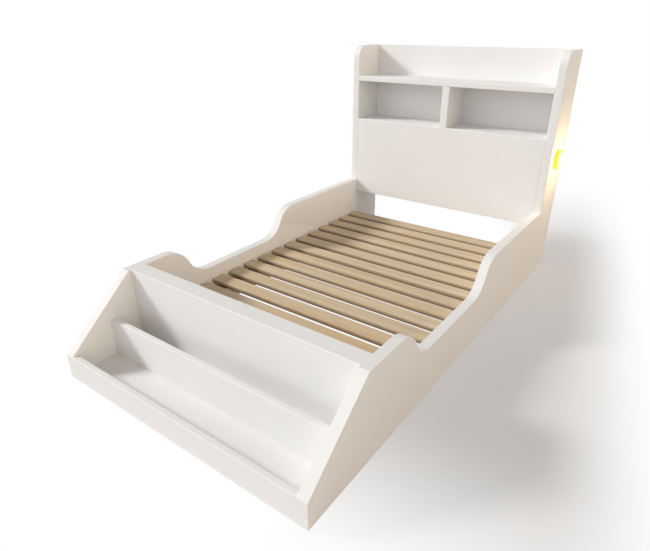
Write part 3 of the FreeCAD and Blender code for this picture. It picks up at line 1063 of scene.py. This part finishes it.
def lay_floor(stage):
    """Pale floor. The camera sees it white, apart from the bed's shadow on the side away from the key."""
    bm = bmesh.new()
    bmesh.ops.create_grid(bm, x_segments=1, y_segments=1, size=stage.floor_size,
                          matrix=Matrix.Translation((0, 0, -stage.floor_drop)))
    material = bpy.data.materials.new("pale_floor")
    material.use_nodes = True
    graph = Graph(material.node_tree)
    spot = graph.node("ShaderNodeTexCoord", output="Object")
    aside = spot.part("X") - cad_high.x
    past_foot = spot.part("Y") - cad_low.y
    past_head = spot.part("Y") - cad_high.y
    inner_start, inner_end = stage.shade_inner
    inner = aside.above(inner_start - past_head.at_least(0.0) * stage.shade_spread, inner_end)
    outer = (aside + spot.part("Y") * stage.shade_slant).above(*stage.shade_outer)
    along = past_foot.above(*stage.shade_foot) * (1.0 - past_head.above(*stage.shade_head))
    shaded = inner * (1.0 - outer) * along * stage.shade
    plain = graph.node("ShaderNodeBsdfDiffuse", None, {"Color": rgba(stage.floor)})
    white = graph.node("ShaderNodeEmission", None, {"Strength": 1.0})
    shown = graph.node("ShaderNodeMixShader", None, {0: shaded, 1: white, 2: plain})
    both = graph.node("ShaderNodeMixShader", None, {0: seen(graph), 1: plain, 2: shown})
    graph.node("ShaderNodeOutputMaterial", None, {"Surface": both})
    new_piece("floor", mesh_from(bm, "floor"), material)


def hang_sky(scene, stage):
    """Soft light from all round, weaker overhead, which the camera sees as white."""
    world = bpy.data.worlds.new("soft_sky")
    world.use_nodes = True
    graph = Graph(world.node_tree)
    height = graph.node("ShaderNodeTexCoord", output="Generated").part("Z")
    low, high, white = (
        graph.node("ShaderNodeBackground", None, {"Color": (1, 1, 1, 1), "Strength": strength})
        for strength in (stage.low_sky, stage.high_sky, 1.0))
    soft = graph.node("ShaderNodeMixShader", None, {0: height.above(*stage.sky_turn), 1: low, 2: high})
    both = graph.node("ShaderNodeMixShader", None, {0: seen(graph), 1: soft, 2: white})
    graph.node("ShaderNodeOutputWorld", None, {"Surface": both})
    scene.world = world


def sun(name, towards, strength, size, tint):
    data = bpy.data.lights.new(name, "SUN")
    data.energy = strength
    data.angle = size
    data.color = tint
    lamp = bpy.data.objects.new(name, data)
    lamp.rotation_mode = "QUATERNION"
    lamp.rotation_quaternion = Vector(towards).to_track_quat("Z", "Y")
    bpy.context.scene.collection.objects.link(lamp)


def spill_light(light):
    """Warm light that the push light throws on the board and the floor, but not on its own lens and ring."""
    low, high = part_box("lamp_lens")
    data = bpy.data.lights.new("push_light", "POINT")
    data.energy = light.spill
    data.color = light.glow
    data.shadow_soft_size = light.spill_size
    lamp = bpy.data.objects.new("push_light", data)
    lamp.location = (high.x + light.spill_ahead, (low.y + high.y) / 2, (low.z + high.z) / 2)
    bpy.context.scene.collection.objects.link(lamp)
    unlit = bpy.data.collections.new("not_lit_by_push_light")
    lamp.light_linking.receiver_collection = unlit
    for piece in (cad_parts["lamp_lens"], bpy.data.objects["light_ring_moulded"]):
        unlit.objects.link(piece)
    for entry in unlit.collection_objects:
        entry.light_linking.link_state = "EXCLUDE"


def aim_camera(scene, stage):
    data = bpy.data.cameras.new("camera")
    data.lens = stage.lens
    data.sensor_width = stage.sensor
    data.sensor_fit = "HORIZONTAL"
    camera = bpy.data.objects.new("camera", data)
    flat = math.cos(stage.elevation)
    back = Vector((math.sin(stage.azimuth) * flat, -math.cos(stage.azimuth) * flat,
                   math.sin(stage.elevation)))
    right = UP.cross(back).normalized()
    above = back.cross(right)
    lean = Matrix.Rotation(stage.roll, 3, back)
    columns = (lean @ right, lean @ above, back)
    camera.matrix_world = Matrix.Translation(stage.camera) @ Matrix(columns).transposed().to_4x4()
    scene.collection.objects.link(camera)
    scene.camera = camera


class BED_PT_sidebar(bpy.types.Panel):
    """Lists the bed's pieces and settings in the 3D view's sidebar"""

    bl_idname = "BED_PT_sidebar"
    bl_label = "Painted single bed"
    bl_space_type = "VIEW_3D"
    bl_region_type = "UI"
    bl_category = "Bed"

    def draw(self, context):
        for operator in OPERATORS:
            self.layout.operator(operator.bl_idname)
        for name, group in SETTINGS.items():
            box = self.layout.box()
            box.label(text=group.__doc__)
            for setting in group.__annotations__:
                box.prop(getattr(context.scene, name), setting)


OPERATORS = (BED_OT_side_panels, BED_OT_head_sides, BED_OT_foot_boards, BED_OT_head_boards, BED_OT_ledgers,
             BED_OT_slats, BED_OT_screws, BED_OT_fittings, BED_OT_light_ring, BED_OT_light_lens,
             BED_OT_light_works, BED_OT_stage)
CLASSES = (*SETTINGS.values(), *OPERATORS, BED_PT_sidebar)


def register():
    for item in CLASSES:
        bpy.utils.register_class(item)
    for name, group in SETTINGS.items():
        setattr(bpy.types.Scene, name, PointerProperty(type=group))


def unregister():
    for name in SETTINGS:
        delattr(bpy.types.Scene, name)
    for item in reversed(CLASSES):
        bpy.utils.unregister_class(item)


def main():
    register()
    for operator in OPERATORS:
        getattr(bpy.ops.bed, operator.bl_idname.split(".")[1])()


if __name__ == "__main__":
    main()
